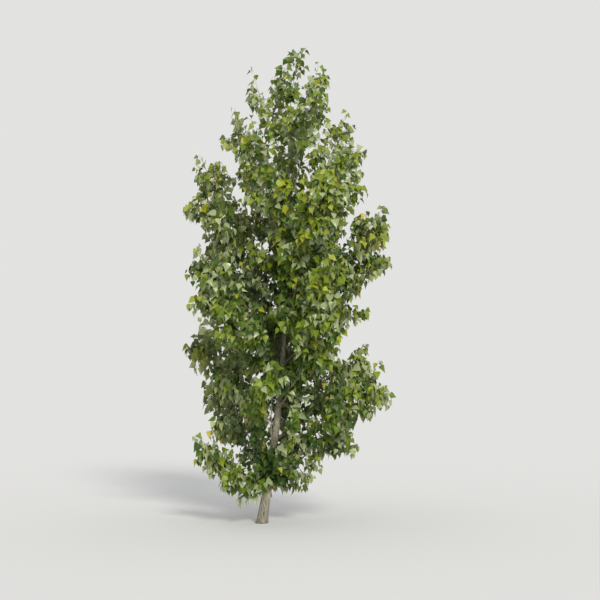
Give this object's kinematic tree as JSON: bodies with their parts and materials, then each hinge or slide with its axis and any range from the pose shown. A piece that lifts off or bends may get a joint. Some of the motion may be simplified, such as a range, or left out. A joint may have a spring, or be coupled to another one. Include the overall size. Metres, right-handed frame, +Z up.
{
  "type": "hybrid poplar",
  "caption": "Young poplar with a slender leaning trunk, steeply rising boughs and a full spindle-shaped crown of broad green leaves, cut flat at ground level.",
  "frame": {"origin": "middle of the flat cut under the trunk, at ground level", "axes": "+Z up along the tree's height, the trunk leans towards +X, and the picture's view looks along +Y"},
  "size_m": [2.9724, 2.8609, 6.4625],
  "materials": {
    "trunk_bark": "matte, smooth grey-tan bark, fissured at the foot",
    "bough_bark": "satin, smooth greenish young bark",
    "leaves": "satin, soft green blades with a waxy upper side"
  },
  "bodies": {
    "root": {"trunk": "trunk_bark", "bough_01": "bough_bark", "bough_02": "bough_bark", "bough_03": "bough_bark", "bough_04": "bough_bark", "bough_05": "bough_bark", "bough_06": "bough_bark", "bough_07": "bough_bark", "bough_08": "bough_bark", "bough_09": "bough_bark", "bough_10": "bough_bark", "bough_11": "bough_bark", "bough_12": "bough_bark", "bough_13": "bough_bark", "bough_14": "bough_bark", "bough_15": "bough_bark", "bough_16": "bough_bark", "bough_17": "bough_bark", "bough_18": "bough_bark", "bough_19": "bough_bark", "bough_20": "bough_bark", "bough_21": "bough_bark", "bough_22": "bough_bark", "bough_23": "bough_bark", "bough_24": "bough_bark", "bough_25": "bough_bark", "foliage_01": "leaves", "foliage_02": "leaves", "foliage_03": "leaves", "foliage_04": "leaves", "foliage_05": "leaves", "foliage_06": "leaves", "foliage_07": "leaves", "foliage_08": "leaves", "foliage_09": "leaves", "foliage_10": "leaves", "foliage_11": "leaves", "foliage_12": "leaves", "foliage_13": "leaves", "foliage_14": "leaves", "foliage_15": "leaves", "foliage_16": "leaves", "foliage_17": "leaves", "foliage_18": "leaves", "foliage_19": "leaves", "foliage_20": "leaves", "foliage_21": "leaves", "foliage_22": "leaves", "foliage_23": "leaves", "foliage_24": "leaves", "foliage_25": "leaves", "side_shoot_01": "leaves", "side_shoot_02": "leaves", "side_shoot_03": "leaves", "side_shoot_04": "leaves", "side_shoot_05": "leaves", "side_shoot_06": "leaves", "foliage_leader": "leaves"}
  },
  "joints": []
}
